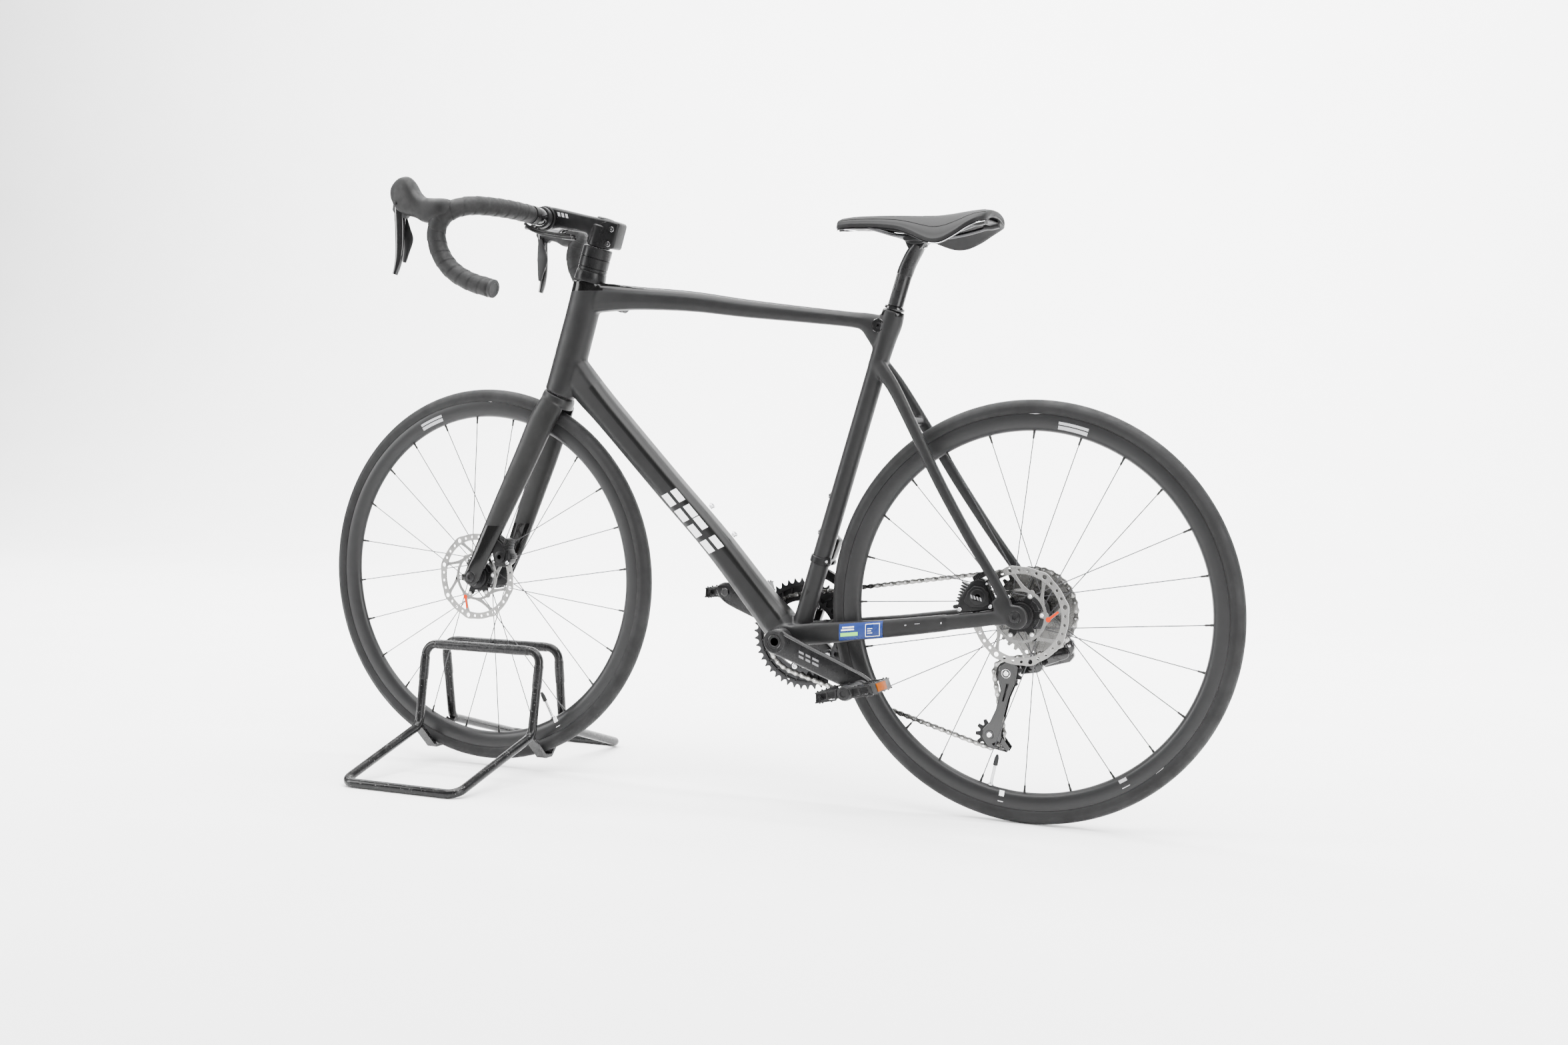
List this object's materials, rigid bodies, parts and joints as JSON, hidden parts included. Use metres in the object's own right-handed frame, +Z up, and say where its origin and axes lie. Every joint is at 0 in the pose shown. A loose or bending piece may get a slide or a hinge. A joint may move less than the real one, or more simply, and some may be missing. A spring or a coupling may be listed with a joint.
{
  "type": "bicycle on stand",
  "caption": "Road bicycle with disc brakes and drop bar, its front wheel held in a bent-tube floor stand; wheels, cranks, levers, seatpost and steering move.",
  "frame": {"origin": "on the floor, midway between the wheels, in the bicycle's middle plane", "axes": "+X towards the front of the bicycle, +Y towards its left side, +Z up"},
  "size_m": [1.704, 0.558, 1.0477],
  "materials": {
    "stand_paint": "gloss black, scuffed",
    "stand_sleeve": "shrink sleeve",
    "frame_paint": "matte dark grey over carbon composite",
    "black_alloy": "satin black anodised",
    "black_plastic": "moulded",
    "tape": "cushioned bar tape",
    "hood_rubber": "ribbed rubber",
    "tyre": "road tyre",
    "rim": "satin black",
    "spoke": "dark steel",
    "rotor": "brushed brake track",
    "valve": "nickel stem, black cap",
    "steel": "bolts and axles",
    "bearing": "bearings and cups",
    "chain": "nickel plates",
    "cassette": "nickel sprockets",
    "crank_alloy": "satin dark grey",
    "chainring": "machined dark alloy",
    "pedal": "black platform with amber reflectors",
    "saddle_cover": "smooth cover with perforated centre",
    "saddle_shell": "moulded shell",
    "rail": "dark rails",
    "hose": "hydraulic hose"
  },
  "bodies": {
    "stand": {"stand_loop_left": "stand_paint", "stand_loop_right": "stand_paint", "stand_cradles": "stand_paint", "stand_sleeves": "stand_sleeve"},
    "fork": {"fork": "frame_paint", "headset_spacers": "black_plastic", "stem": "black_alloy", "stem_hardware": "steel", "handlebar": "black_alloy", "bar_tape": "tape", "bar_end_plugs": "black_plastic", "lever_hoods": "hood_rubber", "brake_hoses": "hose", "front_caliper": "black_alloy", "front_thru_axle": "steel"},
    "brake_lever_left": {"brake_lever_left": "black_alloy"},
    "brake_lever_right": {"brake_lever_right": "black_alloy"},
    "shift_paddle_left": {"shift_paddle_left": "black_plastic"},
    "shift_paddle_right": {"shift_paddle_right": "black_plastic"},
    "front_wheel": {"front_tyre": "tyre", "front_rim": "rim", "front_spokes": "spoke", "front_hub": "black_alloy", "front_rotor": "rotor", "front_valve": "valve"},
    "frame": {"head_tube": "frame_paint", "top_tube": "frame_paint", "down_tube": "frame_paint", "seat_tube": "frame_paint", "bottom_bracket_shell": "frame_paint", "chainstays": "frame_paint", "seatstays": "frame_paint", "frame_hardware": "bearing", "seat_clamp": "black_alloy", "front_derailleur": "black_alloy", "rear_derailleur": "black_alloy", "rear_caliper": "black_alloy", "rear_thru_axle": "steel", "chain": "chain"},
    "rear_wheel": {"rear_tyre": "tyre", "rear_rim": "rim", "rear_spokes": "spoke", "rear_hub": "black_alloy", "rear_rotor": "rotor", "rear_valve": "valve"},
    "seatpost": {"seatpost": "black_alloy", "saddle_clamp": "black_alloy", "saddle_rails": "rail", "saddle_shell": "saddle_shell", "saddle_pad": "saddle_cover"},
    "crank": {"crank_left": "crank_alloy", "crank_right": "crank_alloy", "chainring_outer": "chainring", "chainring_inner": "chainring"},
    "pedal_left": {"pedal_left": "pedal"},
    "pedal_right": {"pedal_right": "pedal"},
    "cassette": {"cassette": "cassette"},
    "derailleur_cage": {"derailleur_cage": "black_alloy"},
    "guide_pulley": {"guide_pulley": "black_plastic"},
    "tension_pulley": {"tension_pulley": "black_plastic"}
  },
  "joints": [
    {"name": "bike_lift", "type": "slide", "parent": "stand", "child": "fork", "axis": [0, 0, 1], "range_m": [0, 0.25]},
    {"name": "steering", "type": "hinge", "parent": "fork", "child": "frame", "pos_m": [0.4608, 0, 0.3526], "axis": [-0.2894, 0, 0.9572], "range_deg": [-45, 45]},
    {"name": "front_wheel_spin", "type": "hinge", "parent": "fork", "child": "front_wheel", "pos_m": [0.513, 0, 0.3526], "axis": [0, 1, 0], "continuous": true},
    {"name": "rear_wheel_spin", "type": "hinge", "parent": "frame", "child": "rear_wheel", "pos_m": [-0.513, 0, 0.339], "axis": [0, 1, 0], "continuous": true},
    {"name": "crank_spin", "type": "hinge", "parent": "frame", "child": "crank", "pos_m": [-0.1003, 0, 0.2753], "axis": [0, 1, 0], "continuous": true, "deforming": ["chain"]},
    {"name": "cassette_spin", "type": "hinge", "parent": "frame", "child": "cassette", "pos_m": [-0.513, 0, 0.339], "axis": [0, 1, 0], "continuous": true, "deforming": ["chain"]},
    {"name": "pedal_left_spin", "type": "hinge", "parent": "crank", "child": "pedal_left", "pos_m": [-0.26102, 0.12, 0.21264], "axis": [0, 1, 0], "continuous": true},
    {"name": "pedal_right_spin", "type": "hinge", "parent": "crank", "child": "pedal_right", "pos_m": [0.06042, -0.12, 0.33796], "axis": [0, 1, 0], "continuous": true},
    {"name": "brake_lever_left_pull", "type": "hinge", "parent": "fork", "child": "brake_lever_left", "pos_m": [0.541, 0.2245, 1], "axis": [0, 1, 0], "range_deg": [0, 13.5], "stiffness_Nm_per_rad": 1.5, "springref_deg": -11.46},
    {"name": "brake_lever_right_pull", "type": "hinge", "parent": "fork", "child": "brake_lever_right", "pos_m": [0.541, -0.2245, 1], "axis": [0, 1, 0], "range_deg": [0, 13.5], "stiffness_Nm_per_rad": 1.5, "springref_deg": -11.46},
    {"name": "shift_paddle_left_press", "type": "hinge", "parent": "brake_lever_left", "child": "shift_paddle_left", "pos_m": [0.533, 0.2145, 0.944], "axis": [0, 0, 1], "range_deg": [0, 8], "stiffness_Nm_per_rad": 0.3, "springref_deg": -8.59},
    {"name": "shift_paddle_right_press", "type": "hinge", "parent": "brake_lever_right", "child": "shift_paddle_right", "pos_m": [0.533, -0.2145, 0.944], "axis": [0, 0, -1], "range_deg": [0, 8], "stiffness_Nm_per_rad": 0.3, "springref_deg": -8.59},
    {"name": "seatpost_slide", "type": "slide", "parent": "frame", "child": "seatpost", "axis": [-0.2894, 0, 0.9572], "range_m": [-0.05, 0.08]},
    {"name": "cage_pivot", "type": "hinge", "parent": "frame", "child": "derailleur_cage", "pos_m": [-0.474, -0.036, 0.24], "axis": [0, 1, 0], "range_deg": [-20, 30], "stiffness_Nm_per_rad": 2, "deforming": ["chain"]},
    {"name": "guide_pulley_spin", "type": "hinge", "parent": "derailleur_cage", "child": "guide_pulley", "pos_m": [-0.4694, -0.027, 0.2359], "axis": [0, 1, 0], "continuous": true, "deforming": ["chain"]},
    {"name": "tension_pulley_spin", "type": "hinge", "parent": "derailleur_cage", "child": "tension_pulley", "pos_m": [-0.4429, -0.027, 0.1339], "axis": [0, 1, 0], "continuous": true, "deforming": ["chain"]}
  ],
  "couplings": [
    {"joint": "cassette_spin", "follows": "crank_spin", "ratio": 1},
    {"joint": "guide_pulley_spin", "follows": "crank_spin", "ratio": -3.0909},
    {"joint": "tension_pulley_spin", "follows": "crank_spin", "ratio": 3.0909}
  ]
}
